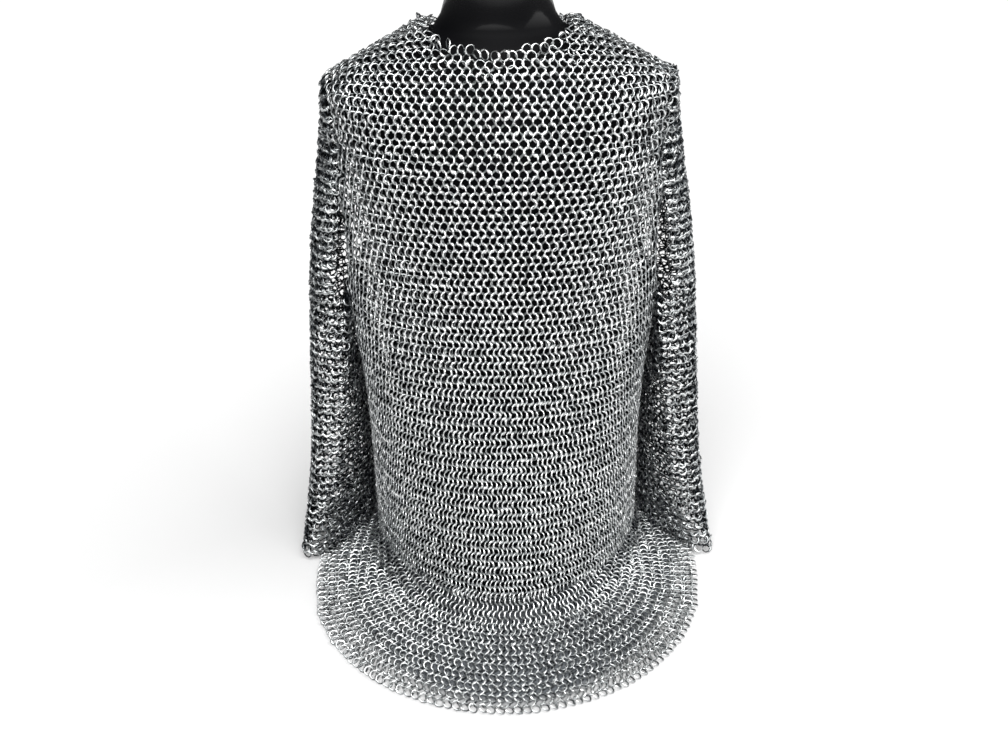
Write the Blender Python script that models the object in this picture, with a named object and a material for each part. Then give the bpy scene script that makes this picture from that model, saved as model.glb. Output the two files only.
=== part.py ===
"""Chainmail hauberk standing on a limbless dress form.

The shirt is a net of linked rings, so each of its pieces is modelled as one wall as thick as the net.
It hangs from the shoulders of the form, leans out a little towards its foot and spreads on the
surface below as a flat skirt. Its sleeves are empty, and hang beside the body down to that surface.

Metres, +Z up. The front faces -Y, and the origin is the centre of the form's base.
"""
import math
from typing import NamedTuple

import bmesh
import bpy
from mathutils import Vector

# Driving sizes of the shirt
MAIL_WALL = 0.005          # thickness of the linked net
SEAM_GAP = 0.0006          # clear space between two joined pieces
RIDGE_Y = 0.010            # the shoulder line lies a little behind the middle of the form
NECK_SIDE_X = 0.0925       # half width of the neck opening on the shoulder line
NECK_TOP_Z = 0.720         # height of the neck opening beside the neck
SHOULDER_TIP_X = 0.2105
SHOULDER_TIP_Z = 0.657
NECK_FRONT_Z = 0.700       # height of the neck opening at the middle of the front
NECK_BACK_Z = 0.712
YOKE_Z = 0.600             # the yoke is the part above this height
ARMPIT_Z = 0.392           # the sleeves leave the body here, and are closed tubes below
FOOT_Z = 0.030             # the skirt starts to bend outwards here
MAIL_REST_Z = MAIL_WALL / 2

# Driving sizes of the dress form
FORM_TOP_Z = 0.796
NECK_CAP_HEIGHT = 0.004
FORM_SIDES = 36

# How finely the net is divided
NECK_COLUMNS = 4           # from the middle of the panel to the side of the neck
SHOULDER_COLUMNS = 6       # from the side of the neck to the shoulder tip
UNDERARM_COLUMNS = 3       # from the line of the armhole to the side seam
FOLD_COLUMN = NECK_COLUMNS + SHOULDER_COLUMNS
SIDE_COLUMN = FOLD_COLUMN + UNDERARM_COLUMNS
YOKE_ROWS = 6
SLEEVE_OUTER_COLUMNS = 12
SLEEVE_INNER_COLUMNS = 2 * UNDERARM_COLUMNS
CHEST_LEVELS = (0.560, 0.510, 0.460, 0.420, ARMPIT_Z)
TUBE_LEVELS = (0.370, 0.335, 0.290, 0.240, 0.185, 0.130, 0.075, FOOT_Z)
SLEEVE_LEVELS = (0.370, 0.335, 0.285, 0.230, 0.175, 0.120, 0.075, 0.040, 0.0065)
ARMPIT_ROW = YOKE_ROWS + len(CHEST_LEVELS)
FOOT_ROW = ARMPIT_ROW + len(TUBE_LEVELS)
NECK_ROUNDNESS = {"front": 1.7, "back": 2.0}   # of the shoulder's profile beside the neck
TIP_ROUNDNESS = 2.45       # and at the shoulder tip
BEND_STEPS = 3
APRON_STEPS = 3


class BodySection(NamedTuple):
    """A level cut through the body of the shirt or the form, as distances from the middle."""
    height: float
    side: float
    front: float
    back: float
    squareness: float


SHIRT_SECTIONS = (
    BodySection(0.030, 0.1850, 0.214, 0.160, 1.9),
    BodySection(0.100, 0.1830, 0.200, 0.152, 2.1),
    BodySection(0.170, 0.1820, 0.186, 0.145, 2.3),
    BodySection(0.250, 0.1840, 0.170, 0.138, 2.4),
    BodySection(0.320, 0.1910, 0.157, 0.133, 2.5),
    BodySection(0.390, 0.2010, 0.148, 0.130, 2.5),
    BodySection(0.460, 0.2050, 0.142, 0.128, 2.5),
    BodySection(0.544, 0.2065, 0.135, 0.125, 2.5),
    BodySection(0.600, 0.2085, 0.121, 0.117, 2.4),
    BodySection(0.640, 0.2101, 0.106, 0.108, 2.3),
    BodySection(0.657, 0.2105, 0.098, 0.103, 2.2),
    BodySection(0.672, 0.1824, 0.090, 0.098, 2.2),
    BodySection(0.700, 0.1300, 0.070, 0.085, 2.1),
    BodySection(0.712, 0.1075, 0.055, 0.075, 2.0),
    BodySection(0.720, 0.0925, 0.044, 0.062, 2.0),
)

FORM_SECTIONS = (
    BodySection(0.000, 0.1640, 0.172, 0.130, 2.0),
    BodySection(0.012, 0.1640, 0.172, 0.130, 2.0),
    BodySection(0.045, 0.1640, 0.159, 0.124, 2.0),
    BodySection(0.100, 0.1630, 0.146, 0.117, 2.0),
    BodySection(0.200, 0.1570, 0.134, 0.106, 2.0),
    BodySection(0.300, 0.1550, 0.124, 0.098, 2.0),
    BodySection(0.400, 0.1620, 0.123, 0.100, 2.1),
    BodySection(0.500, 0.1730, 0.126, 0.110, 2.2),
    BodySection(0.560, 0.1800, 0.122, 0.112, 2.3),
    BodySection(0.600, 0.1890, 0.111, 0.108, 2.3),
    BodySection(0.630, 0.2010, 0.100, 0.101, 2.2),
    BodySection(0.645, 0.2020, 0.092, 0.096, 2.2),
    BodySection(0.655, 0.1960, 0.086, 0.092, 2.2),
    BodySection(0.672, 0.1700, 0.077, 0.086, 2.1),
    BodySection(0.690, 0.1350, 0.068, 0.078, 2.1),
    BodySection(0.700, 0.1100, 0.061, 0.072, 2.0),
    BodySection(0.713, 0.0770, 0.051, 0.062, 2.0),
    BodySection(0.741, 0.0635, 0.047, 0.058, 2.0),
    BodySection(0.770, 0.0610, 0.046, 0.057, 2.0),
    BodySection(0.792, 0.0605, 0.0455, 0.0565, 2.0),
    BodySection(FORM_TOP_Z, 0.0565, 0.0415, 0.0525, 2.0),
)


class FoldPoint(NamedTuple):
    """How far out the line of the armhole lies at one height."""
    height: float
    out: float


FOLD_LINE = (
    FoldPoint(ARMPIT_Z - 0.010, 0.1895),
    FoldPoint(ARMPIT_Z, 0.1900),
    FoldPoint(0.460, 0.1905),
    FoldPoint(0.541, 0.1910),
    FoldPoint(0.580, 0.1930),
    FoldPoint(YOKE_Z, 0.1960),
    FoldPoint(SHOULDER_TIP_Z, SHOULDER_TIP_X),
)


class SleeveSection(NamedTuple):
    """A level cut through a sleeve: its front tip, rear edge and inner side, as X and Y."""
    height: float
    tip_x: float
    tip_y: float
    rear_x: float
    rear_y: float
    inner_x: float
    inner_y: float


SLEEVE_SECTIONS = (
    SleeveSection(0.0065, 0.2900, -0.0830, 0.2560, 0.0300, 0.2010, 0.014),
    SleeveSection(0.067, 0.2760, -0.0720, 0.2560, 0.0340, 0.1980, 0.012),
    SleeveSection(0.159, 0.2610, -0.0600, 0.2520, 0.0380, 0.1960, 0.010),
    SleeveSection(0.245, 0.2530, -0.0530, 0.2480, 0.0420, 0.1970, 0.008),
    SleeveSection(0.320, 0.2480, -0.0480, 0.2440, 0.0450, 0.2060, 0.006),
    SleeveSection(0.370, 0.2435, -0.0445, 0.2395, 0.0467, 0.2130, 0.005),
    SleeveSection(0.437, 0.2370, -0.0390, 0.2340, 0.0490, 0.1800, 0.005),
    SleeveSection(0.514, 0.2280, -0.0280, 0.2260, 0.0430, 0.1750, 0.005),
    SleeveSection(0.560, 0.2210, -0.0200, 0.2195, 0.0380, 0.1750, 0.005),
    SleeveSection(0.608, 0.2160, -0.0100, 0.2155, 0.0300, 0.1800, 0.007),
    SleeveSection(0.640, 0.2130, 0.0000, 0.2130, 0.0200, 0.1900, 0.010),
    SleeveSection(SHOULDER_TIP_Z, 0.2115, 0.0060, 0.2115, 0.0140, 0.2000, 0.010),
)


class SleeveCorner(NamedTuple):
    """Below the armpit: where a sleeve's front and rear faces turn in towards the body."""
    height: float
    front_x: float
    front_y: float
    back_x: float
    back_y: float


SLEEVE_CORNERS = (
    SleeveCorner(0.0065, 0.2690, -0.0860, 0.2120, 0.0680),
    SleeveCorner(0.067, 0.2470, -0.0720, 0.2110, 0.0700),
    SleeveCorner(0.159, 0.2230, -0.0640, 0.2090, 0.0730),
    SleeveCorner(0.245, 0.2120, -0.0640, 0.2080, 0.0760),
    SleeveCorner(0.320, 0.2040, -0.0690, 0.2050, 0.0770),
    SleeveCorner(0.370, 0.1965, -0.0690, 0.1965, 0.0710),
)

# The skirt on the surface: a half round front, straight sides and a rounder back
HEM_RADIUS = 0.2630
HEM_CENTRE_Y = -0.1220
HEM_SIDE_X = 0.2645
HEM_BACK_Y = 0.2450
BEND_OUT_MIDDLE = 0.0275   # how far the skirt runs out while it bends down to the surface
BEND_OUT_SIDE = 0.0120

STEEL = ((0.56, 0.57, 0.57, 1.0), 0.34, 0.95)
GLOSS_BLACK = ((0.012, 0.012, 0.014, 1.0), 0.16, 0.0)


# ---------------------------------------------------------------------------------------------
# Curves
# ---------------------------------------------------------------------------------------------

def column_of(rows, name):
    """One column of a table, as a list."""
    return [getattr(row, name) for row in rows]


def smooth_value(heights, values, height):
    """The value at a height on a smooth curve through a table, with no overshoot between rows."""
    if height <= heights[0]:
        return values[0]
    if height >= heights[-1]:
        return values[-1]
    last = len(heights) - 1
    slopes = [(values[i + 1] - values[i]) / (heights[i + 1] - heights[i]) for i in range(last)]

    def tangent(i):
        if i == 0 or i == last:
            return slopes[0 if i == 0 else last - 1]
        before, after = slopes[i - 1], slopes[i]
        return 0.0 if before * after <= 0 else 2 * before * after / (before + after)

    i = max(n for n in range(last) if heights[n] <= height)
    step = heights[i + 1] - heights[i]
    t = (height - heights[i]) / step
    start, end = tangent(i) * step, tangent(i + 1) * step
    return ((2 * t**3 - 3 * t**2 + 1) * values[i] + (t**3 - 2 * t**2 + t) * start
            + (3 * t**2 - 2 * t**3) * values[i + 1] + (t**3 - t**2) * end)


def section_at(rows, height):
    """The row of a table at any height, each column smoothly in between."""
    heights = column_of(rows, "height")
    others = [name for name in rows[0]._fields if name != "height"]
    return type(rows[0])(height, *(smooth_value(heights, column_of(rows, name), height)
                                   for name in others))


def solve(function, low, high, steps=40):
    """Where a rising function crosses zero between two values."""
    for _ in range(steps):
        middle = (low + high) / 2
        if function(middle) < 0:
            low = middle
        else:
            high = middle
    return (low + high) / 2


def loop_curve(corners, index, t):
    """A point on the smooth closed curve through the corners, between one corner and the next."""
    count = len(corners)
    p0, p1, p2, p3 = (corners[(index + k) % count] for k in (-1, 0, 1, 2))
    k0 = max((p1 - p0).length, 1e-6) ** 0.5
    k1 = max((p2 - p1).length, 1e-6) ** 0.5
    k2 = max((p3 - p2).length, 1e-6) ** 0.5
    m1 = (p2 - p1) + ((p1 - p0) / k0 - (p2 - p0) / (k0 + k1)) * k1
    m2 = (p2 - p1) + ((p3 - p2) / k2 - (p3 - p1) / (k1 + k2)) * k1
    return (p1 * (2 * t**3 - 3 * t**2 + 1) + m1 * (t**3 - 2 * t**2 + t)
            + p2 * (3 * t**2 - 2 * t**3) + m2 * (t**3 - t**2))


def evenly_spaced(points, count):
    """The points of a polyline again, the same distance apart, in the given number of spans."""
    reach = [0.0]
    for before, after in zip(points, points[1:]):
        reach.append(reach[-1] + (after - before).length)
    spaced = []
    for n in range(count + 1):
        target = reach[-1] * n / count
        i = max(k for k in range(len(points) - 1) if reach[k] <= target)
        t = (target - reach[i]) / (reach[i + 1] - reach[i])
        spaced.append(points[i].lerp(points[i + 1], min(t, 1.0)))
    return spaced


# ---------------------------------------------------------------------------------------------
# The surface of the body
# ---------------------------------------------------------------------------------------------

def body_point(rows, height, turn, face):
    """A point on the body: turn is 0 at the middle of the front or back and pi/2 at the side."""
    section = section_at(rows, height)
    power = 2 / section.squareness
    depth = -(section.front + RIDGE_Y) if face == "front" else section.back - RIDGE_Y
    out = section.side * abs(math.sin(turn)) ** power
    return Vector((out, RIDGE_Y + depth * max(math.cos(turn), 0.0) ** power, height))


def turn_for_out(rows, height, out):
    """The turn at which the body's section at a height is this far out."""
    section = section_at(rows, height)
    share = min(out / section.side, 1.0)
    return math.asin(min(share ** (section.squareness / 2), 1.0))


def neckline_height(turn, face):
    """The neck opening rises from the middle of each panel to the shoulder line."""
    low = NECK_FRONT_Z if face == "front" else NECK_BACK_Z
    return low + (NECK_TOP_Z - low) * math.sin(turn) ** 2


def shoulder_height(out):
    """The straight slope of the shoulder line."""
    slope = (NECK_TOP_Z - SHOULDER_TIP_Z) / (SHOULDER_TIP_X - NECK_SIDE_X)
    return NECK_TOP_Z - slope * (out - NECK_SIDE_X)


def top_out(column):
    """How far out a column of the panel meets the neck opening or the shoulder line."""
    if column <= NECK_COLUMNS:
        return NECK_SIDE_X * column / NECK_COLUMNS
    share = (column - NECK_COLUMNS) / SHOULDER_COLUMNS
    return NECK_SIDE_X + (SHOULDER_TIP_X - NECK_SIDE_X) * share


def top_height(column, face):
    """The height at which a column of the panel ends."""
    out = top_out(column)
    if column >= NECK_COLUMNS:
        return shoulder_height(out)
    turn = solve(lambda t: body_point(SHIRT_SECTIONS, neckline_height(t, face), t, face).x - out,
                 0.0, math.pi / 2)
    return neckline_height(turn, face)


def fold_turn(height):
    """The turn of the armhole's line at a height."""
    out = smooth_value(column_of(FOLD_LINE, "height"), column_of(FOLD_LINE, "out"), height)
    return turn_for_out(SHIRT_SECTIONS, height, out)


def yoke_point(column, row, face):
    """A point of the yoke, whose columns fall from the neck or the shoulder line to its lower edge."""
    beyond_neck = max(column - NECK_COLUMNS, 0) / SHOULDER_COLUMNS
    power = 2 / (NECK_ROUNDNESS[face] + (TIP_ROUNDNESS - NECK_ROUNDNESS[face]) * beyond_neck)
    angle = math.pi / 2 * row / YOKE_ROWS
    top = top_height(column, face)
    drop = 1 - max(math.cos(angle), 0.0) ** power
    height = top + (YOKE_Z - top) * drop
    spread = 1 + (FOLD_LINE[-2].out / SHOULDER_TIP_X - 1) * drop
    if column < NECK_COLUMNS:
        turn = turn_for_out(SHIRT_SECTIONS, height, top_out(column) * spread)
        return body_point(SHIRT_SECTIONS, height, turn, face)
    low_out = top_out(column) * FOLD_LINE[-2].out / SHOULDER_TIP_X
    low = body_point(SHIRT_SECTIONS, YOKE_Z, turn_for_out(SHIRT_SECTIONS, YOKE_Z, low_out), face)
    return Vector((top_out(column) * spread, RIDGE_Y + (low.y - RIDGE_Y) * math.sin(angle) ** power, height))


def panel_point(column, row, face):
    """A point of the front or back panel, on its right half."""
    if row <= YOKE_ROWS:
        return yoke_point(column, row, face)
    height = (CHEST_LEVELS + TUBE_LEVELS)[row - YOKE_ROWS - 1]
    edge = fold_turn(max(height, ARMPIT_Z))
    if column <= FOLD_COLUMN:
        yoke_out = top_out(column) * FOLD_LINE[-2].out / SHOULDER_TIP_X
        share = turn_for_out(SHIRT_SECTIONS, YOKE_Z, yoke_out) / fold_turn(YOKE_Z)
        turn = edge * share
    else:
        turn = edge + (math.pi / 2 - edge) * (column - FOLD_COLUMN) / UNDERARM_COLUMNS
    return body_point(SHIRT_SECTIONS, height, turn, face)


# ---------------------------------------------------------------------------------------------
# The sleeves and the skirt
# ---------------------------------------------------------------------------------------------

def sleeve_corners(height, front=None, back=None):
    """The corners that a sleeve's section passes through, from its front fold round to its inner side."""
    section = section_at(SLEEVE_SECTIONS, height)
    if front is None:
        corner = section_at(SLEEVE_CORNERS, height)
        front = Vector((corner.front_x, corner.front_y, height))
        back = Vector((corner.back_x, corner.back_y, height))
    return (front, Vector((section.tip_x, section.tip_y, height)),
            Vector((section.rear_x, section.rear_y, height)), back,
            Vector((section.inner_x, section.inner_y, height)))


def sleeve_points(corners):
    """The section as evenly spaced points: its outer part, then its inner part."""
    fine = 12
    outer = [loop_curve(corners, span, n / fine) for span in (0, 1, 2) for n in range(fine)]
    inner = [loop_curve(corners, span, n / fine) for span in (3, 4) for n in range(fine)]
    outer.append(corners[3])
    inner.append(corners[0])
    return (evenly_spaced(outer, SLEEVE_OUTER_COLUMNS), evenly_spaced(inner, SLEEVE_INNER_COLUMNS))


def hem_line(face):
    """The hem's plan from the middle of the front or back to the side, as a fine polyline."""
    quarter = [math.pi / 2 * n / 24 for n in range(25)]
    if face == "front":
        line = [Vector((HEM_RADIUS * math.sin(a), HEM_CENTRE_Y - HEM_RADIUS * math.cos(a), MAIL_REST_Z))
                for a in quarter]
        line.append(Vector((HEM_SIDE_X, RIDGE_Y, MAIL_REST_Z)))
        return line
    return [Vector((HEM_SIDE_X * math.sin(a), RIDGE_Y + (HEM_BACK_Y - RIDGE_Y) * math.cos(a), MAIL_REST_Z))
            for a in quarter]


def hem_point(share, face):
    """The point that lies this share of the way along the hem."""
    spans = 200
    return evenly_spaced(hem_line(face), spans)[round(share * spans)]


def skirt_column(foot, foot_out, share, face):
    """The points of one skirt column, from the foot of the panel through the bend to the hem."""
    sideways = share ** 2
    run = BEND_OUT_MIDDLE * (1 - sideways) + BEND_OUT_SIDE * sideways
    fall = FOOT_Z - MAIL_REST_Z
    points = []
    for step in range(1, BEND_STEPS + 1):
        angle = math.pi / 2 * step / BEND_STEPS
        place = foot + foot_out * run * (1 - math.cos(angle))
        place.z = MAIL_REST_Z + fall * (1 - math.sin(angle))
        points.append(place)
    start, hem = points[-1], hem_point(share, face)
    points += [start.lerp(hem, step / APRON_STEPS) for step in range(1, APRON_STEPS + 1)]
    return points


# ---------------------------------------------------------------------------------------------
# The net: shared points, and cells that belong to pieces
# ---------------------------------------------------------------------------------------------

class Net:
    """All points and cells of the shirt. Pieces that are joined share the points of their seam."""

    def __init__(self):
        self.points = {}
        self.cells = {}

    def add_cell(self, piece, corners):
        """Add a cell whose corners are keys, seen anticlockwise from outside."""
        self.cells.setdefault(piece, []).append(corners)

    def face_normal(self, corners):
        """A cell's outward direction."""
        places = [self.points[key] for key in corners]
        return (places[2] - places[0]).cross(places[-1] - places[1]).normalized()

    def outward_steps(self):
        """For each point, the step from the middle of the wall to its outer side."""
        around = {}
        for cells in self.cells.values():
            for corners in cells:
                normal = self.face_normal(corners)
                for key in corners:
                    around.setdefault(key, []).append(normal)
        steps = {}
        for key, normals in around.items():
            mean = sum(normals, Vector()).normalized()
            share = sum(mean.dot(normal) for normal in normals) / len(normals)
            steps[key] = mean * (MAIL_WALL / 2) / max(share, 0.72)
        return steps

    def seam_pulls(self):
        """For each point that pieces share, the direction from the seam into each of them."""
        owners = {}
        for name, cells in self.cells.items():
            for corners in cells:
                for key in corners:
                    owners.setdefault(key, set()).add(name)
        pulls = {key: {} for key, names in owners.items() if len(names) > 1}
        for name, cells in self.cells.items():
            for corners in cells:
                centre = sum((self.points[key] for key in corners), Vector()) / len(corners)
                for n, key in enumerate(corners):
                    if key not in pulls:
                        continue
                    pull = centre - self.points[key]
                    for other in (corners[n - 1], corners[(n + 1) % len(corners)]):
                        along = (self.points[other] - self.points[key]).normalized()
                        if owners[other] >= owners[key]:
                            pull = pull - along * pull.dot(along)
                    pulls[key][name] = pulls[key].get(name, Vector()) + pull.normalized()
        return pulls

    def seam_steps(self, piece):
        """For each point that a piece shares with others, the step that takes it clear of them."""
        steps = {}
        for key, pulls in self.seam_pulls().items():
            if piece in pulls:
                away = pulls[piece].normalized()
                for name in sorted(pulls):
                    if name != piece:
                        away = away - pulls[name].normalized() / (len(pulls) - 1)
                steps[key] = away.normalized() * SEAM_GAP / 2
        return steps

    def build_wall(self, piece, material):
        """Make one piece a closed wall: its inner side, extruded to its outer side."""
        outward = self.outward_steps()
        back = self.seam_steps(piece)
        mesh = bmesh.new()
        order = mesh.verts.layers.int.new("order")
        keys = []
        corners = {}
        for cell in self.cells[piece]:
            for key in cell:
                if key not in corners:
                    place = self.points[key] + back.get(key, Vector()) - outward[key]
                    corners[key] = mesh.verts.new(place)
                    corners[key][order] = len(keys)
                    keys.append(key)
            mesh.faces.new([corners[key] for key in cell])
        grown = bmesh.ops.extrude_face_region(mesh, geom=mesh.faces[:])
        raised = [item for item in grown["geom"] if isinstance(item, bmesh.types.BMVert)]
        for vert in raised:
            vert.co += outward[keys[vert[order]]] * 2
        split_rim(mesh, set(raised))
        bmesh.ops.recalc_face_normals(mesh, faces=mesh.faces[:])
        return add_object(piece, mesh, material)


def split_rim(mesh, raised):
    """Divide each face of a wall's edge by one rule, so that two edges that meet at a seam match."""
    def rank(vert):
        return (round(vert.co.z, 4), round(abs(vert.co.x), 4), vert.co.y)

    for face in mesh.faces[:]:
        outer = sorted((vert for vert in face.verts if vert in raised), key=rank)
        inner = [vert for vert in face.verts if vert not in raised]
        if len(outer) == 2 and len(inner) == 2:
            low_inner = next(vert for vert in inner
                             if any(edge.other_vert(vert) is outer[0] for edge in vert.link_edges))
            bmesh.utils.face_split(face, low_inner, outer[1])


def panel_key(face, side, column, row):
    """The key of a panel's point. Points on the middle, shoulder and side lines have one key each."""
    if column == 0:
        return (face, 0, 0, row)
    if column == SIDE_COLUMN:
        return ("side", side, column, row)
    if row == 0 and column >= NECK_COLUMNS:
        return ("shoulder", side, column, row)
    return (face, side, column, row)


def mirrored(point, side):
    """The point on the chosen side."""
    return Vector((point.x * side, point.y, point.z))


def oriented(corners, side, face):
    """A cell's corners in the order that makes it face outwards on its side and face."""
    outward = side > 0 if face == "front" else side < 0
    return corners if outward else corners[:1] + corners[:0:-1]


def lay_panels(net):
    """Put the front and back panels into the net."""
    for face in ("front", "back"):
        for side in (1, -1):
            for row in range(FOOT_ROW + 1):
                last = SIDE_COLUMN if row >= ARMPIT_ROW else FOLD_COLUMN
                for column in range(last + 1):
                    key = panel_key(face, side, column, row)
                    net.points[key] = mirrored(panel_point(column, row, face), side)
            for row in range(FOOT_ROW):
                last = SIDE_COLUMN if row >= ARMPIT_ROW else FOLD_COLUMN
                for column in range(last):
                    cell = [panel_key(face, side, column + c, row + r)
                            for c, r in ((0, 0), (0, 1), (1, 1), (1, 0))]
                    net.add_cell(face + "_panel", oriented(cell, side, face))


def sleeve_key(side, column, row):
    """The key of a sleeve's point. Down to the armpit its edges are the panels' edges."""
    around = SLEEVE_OUTER_COLUMNS + SLEEVE_INNER_COLUMNS
    column %= around
    if row > ARMPIT_ROW:
        return ("sleeve", side, column, row)
    if row == 0 or column == 0:
        return panel_key("front", side, FOLD_COLUMN, row)
    if column < SLEEVE_OUTER_COLUMNS:
        return ("sleeve", side, column, row)
    inner = column - SLEEVE_OUTER_COLUMNS
    if inner <= UNDERARM_COLUMNS:
        return panel_key("back", side, FOLD_COLUMN + inner, row)
    return panel_key("front", side, FOLD_COLUMN + 2 * UNDERARM_COLUMNS - inner, row)


def lay_sleeve(net, side):
    """Put one sleeve into the net: open towards the body down to the armpit, and then a tube."""
    piece = "sleeve_right" if side > 0 else "sleeve_left"
    last_row = ARMPIT_ROW + len(SLEEVE_LEVELS)
    for row in range(1, last_row + 1):
        if row <= ARMPIT_ROW:
            front = panel_point(FOLD_COLUMN, row, "front")
            back = panel_point(FOLD_COLUMN, row, "back")
            outer, _ = sleeve_points(sleeve_corners(front.z, front, back))
            places = outer[1:-1]
        else:
            height = SLEEVE_LEVELS[row - ARMPIT_ROW - 1]
            outer, inner = sleeve_points(sleeve_corners(height))
            places = outer + inner[1:-1]
        first = 1 if row <= ARMPIT_ROW else 0
        for column, place in enumerate(places, start=first):
            net.points[sleeve_key(side, column, row)] = mirrored(place, side)
    for row in range(last_row):
        last = SLEEVE_OUTER_COLUMNS + (SLEEVE_INNER_COLUMNS if row >= ARMPIT_ROW else 0)
        for column in range(last):
            cell = [sleeve_key(side, column + c, row + r) for c, r in ((0, 0), (0, 1), (1, 1), (1, 0))]
            net.add_cell(piece, oriented(list(dict.fromkeys(cell)), side, "front"))


def skirt_key(face, side, column, ring):
    """The key of a skirt's point. Its first ring is the foot of the panel."""
    if ring == 0:
        return panel_key(face, side, column, FOOT_ROW)
    if column == 0:
        return ("skirt_" + face, 0, 0, ring)
    if column == SIDE_COLUMN:
        return ("skirt_side", side, column, ring)
    return ("skirt_" + face, side, column, ring)


def lay_skirt(net):
    """Put the front and back of the skirt into the net."""
    for face in ("front", "back"):
        foot = [panel_point(column, FOOT_ROW, face) for column in range(SIDE_COLUMN + 1)]
        reach = [0.0]
        for before, after in zip(foot, foot[1:]):
            reach.append(reach[-1] + (after - before).length)
        for column, place in enumerate(foot):
            before, after = foot[max(column - 1, 0)], foot[min(column + 1, SIDE_COLUMN)]
            along = (after - before).normalized()
            turn = -1 if face == "front" else 1
            out = Vector((-along.y * turn, along.x * turn, 0.0))
            if column == 0:
                out = Vector((0.0, turn, 0.0))
            elif column == SIDE_COLUMN:
                out = Vector((1.0, 0.0, 0.0))
            rings = skirt_column(place, out, reach[column] / reach[-1], face)
            for side in (1, -1):
                for ring, point in enumerate(rings, start=1):
                    net.points[skirt_key(face, side, column, ring)] = mirrored(point, side)
        for side in (1, -1):
            for ring in range(BEND_STEPS + APRON_STEPS):
                for column in range(SIDE_COLUMN):
                    cell = [skirt_key(face, side, column + c, ring + r)
                            for c, r in ((0, 0), (0, 1), (1, 1), (1, 0))]
                    net.add_cell("skirt_" + face, oriented(cell, side, face))


# ---------------------------------------------------------------------------------------------
# Objects
# ---------------------------------------------------------------------------------------------

def make_material(name, finish):
    """A plain material of one colour, roughness and metallic value."""
    colour, roughness, metallic = finish
    material = bpy.data.materials.new(name)
    material.use_nodes = True
    shader = material.node_tree.nodes["Principled BSDF"]
    shader.inputs["Base Color"].default_value = colour
    shader.inputs["Roughness"].default_value = roughness
    shader.inputs["Metallic"].default_value = metallic
    material.diffuse_color = colour
    return material


def add_object(name, mesh, material):
    """Turn a bmesh into an object of the scene, shaded smooth except at sharp edges."""
    data = bpy.data.meshes.new(name)
    mesh.to_mesh(data)
    mesh.free()
    data.materials.append(material)
    data.shade_smooth()
    data.set_sharp_from_angle(angle=math.radians(50))
    item = bpy.data.objects.new(name, data)
    bpy.context.scene.collection.objects.link(item)
    return item


def form_loop(mesh, section):
    """One level ring of the dress form."""
    ring = []
    for n in range(FORM_SIDES):
        angle = 2 * math.pi * n / FORM_SIDES
        power = 2 / section.squareness
        across, along = math.sin(angle), math.cos(angle)
        depth = section.front + RIDGE_Y if along > 0 else section.back - RIDGE_Y
        x = math.copysign(abs(across) ** power, across) * section.side
        y = RIDGE_Y - math.copysign(abs(along) ** power, along) * depth
        ring.append(mesh.verts.new((x, y, section.height)))
    return [mesh.edges.new((ring[n], ring[(n + 1) % FORM_SIDES])) for n in range(FORM_SIDES)]


def build_dress_form(material):
    """The limbless form: one smooth closed body from its flat base to the top of its neck."""
    mesh = bmesh.new()
    heights = column_of(FORM_SECTIONS, "height")
    levels = sorted(set(heights + [(low + high) / 2 for low, high in zip(heights, heights[1:])
                                   if high - low > 0.012]))
    loops = [form_loop(mesh, section_at(FORM_SECTIONS, height)) for height in levels]
    for lower, upper in zip(loops, loops[1:]):
        bmesh.ops.bridge_loops(mesh, edges=lower + upper)
    for ends in (loops[0], loops[-1]):
        bmesh.ops.contextual_create(mesh, geom=ends)
    bmesh.ops.recalc_face_normals(mesh, faces=mesh.faces[:])
    return add_object("dress_form", mesh, material)


def build_neck_cap(material):
    """The plain oval cap that closes the top of the neck."""
    top = FORM_SECTIONS[-1]
    mesh = bmesh.new()
    bmesh.ops.create_cone(mesh, cap_ends=True, segments=FORM_SIDES, radius1=1.0, radius2=1.0,
                          depth=NECK_CAP_HEIGHT)
    middle_y = (top.back - top.front) / 2
    half_depth = (top.back + top.front) / 2
    gap = 0.0003
    for vert in mesh.verts:
        vert.co.x *= top.side
        vert.co.y = middle_y + vert.co.y * half_depth
        vert.co.z += FORM_TOP_Z + gap + NECK_CAP_HEIGHT / 2
    rim = [edge for edge in mesh.edges if all(v.co.z > FORM_TOP_Z + NECK_CAP_HEIGHT / 2 for v in edge.verts)]
    bmesh.ops.bevel(mesh, geom=rim, offset=0.0015, segments=2, profile=0.5, affect="EDGES", material=-1)
    bmesh.ops.recalc_face_normals(mesh, faces=mesh.faces[:])
    return add_object("neck_cap", mesh, material)


def main():
    """Clear the scene and build the form and the shirt on it."""
    for item in list(bpy.data.objects):
        bpy.data.objects.remove(item, do_unlink=True)
    black = make_material("form_gloss_black", GLOSS_BLACK)
    build_dress_form(black)
    build_neck_cap(make_material("cap_gloss_black", GLOSS_BLACK))
    net = Net()
    lay_panels(net)
    lay_sleeve(net, 1)
    lay_sleeve(net, -1)
    lay_skirt(net)
    for piece in net.cells:
        net.build_wall(piece, make_material(piece + "_mail", STEEL))


main()
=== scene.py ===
"""Chainmail hauberk on a limbless dress form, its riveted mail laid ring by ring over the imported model.

Every ring is a real closed ring that sits in the place its neighbours leave it: rings of one row lean
the same way, the next row leans the other way and lies half a ring further along. The rows run level
round the body and the skirt, and up and down on the sleeves.
"""

import logging
import math
from dataclasses import dataclass, field
from enum import Enum
from typing import Any, Iterable

import bmesh
import bpy
import numpy as np
from mathutils import Matrix, Vector
from mathutils.bvhtree import BVHTree


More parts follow.
